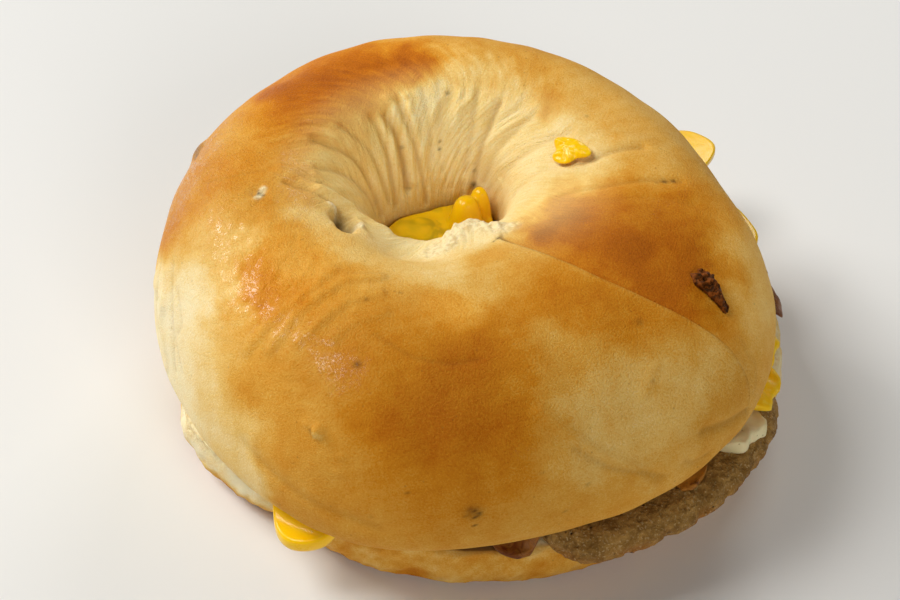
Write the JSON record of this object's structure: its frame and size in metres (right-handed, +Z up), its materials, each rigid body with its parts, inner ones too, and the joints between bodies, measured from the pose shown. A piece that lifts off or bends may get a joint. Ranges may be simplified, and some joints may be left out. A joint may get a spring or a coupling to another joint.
{
  "type": "filled bagel",
  "caption": "Toasted ring-shaped bagel cut across and filled with a sausage patty, bacon, egg and melted cheese that shows in the hole and at the sides.",
  "frame": {"origin": "on the surface that the bagel stands on, in the middle of its bounding box in plan", "axes": "+Z up through the hole; the picture looks along +Y and down, so -Y is the near side and +X is the picture's right"},
  "size_m": [0.1164, 0.1149, 0.0537],
  "materials": {
    "crust": "golden brown baked crust, slightly glossy on the upper left",
    "bottom_crust": "tan baked crust with a cream cut face, matte",
    "sausage": "grey brown cooked minced meat, slightly moist",
    "bacon": "red brown fried bacon, greasy",
    "egg": "pale cream cooked egg, satin",
    "cheese": "yellow melted cheese, glossy where it has run"
  },
  "bodies": {
    "root": {"bagel_top": "crust", "bagel_bottom": "bottom_crust", "sausage_patty": "sausage", "bacon_front": "bacon", "bacon_side": "bacon", "bacon_right": "bacon", "egg": "egg", "cheese": "cheese", "cheese_dab": "cheese", "bacon_crumb": "bacon"}
  },
  "joints": []
}
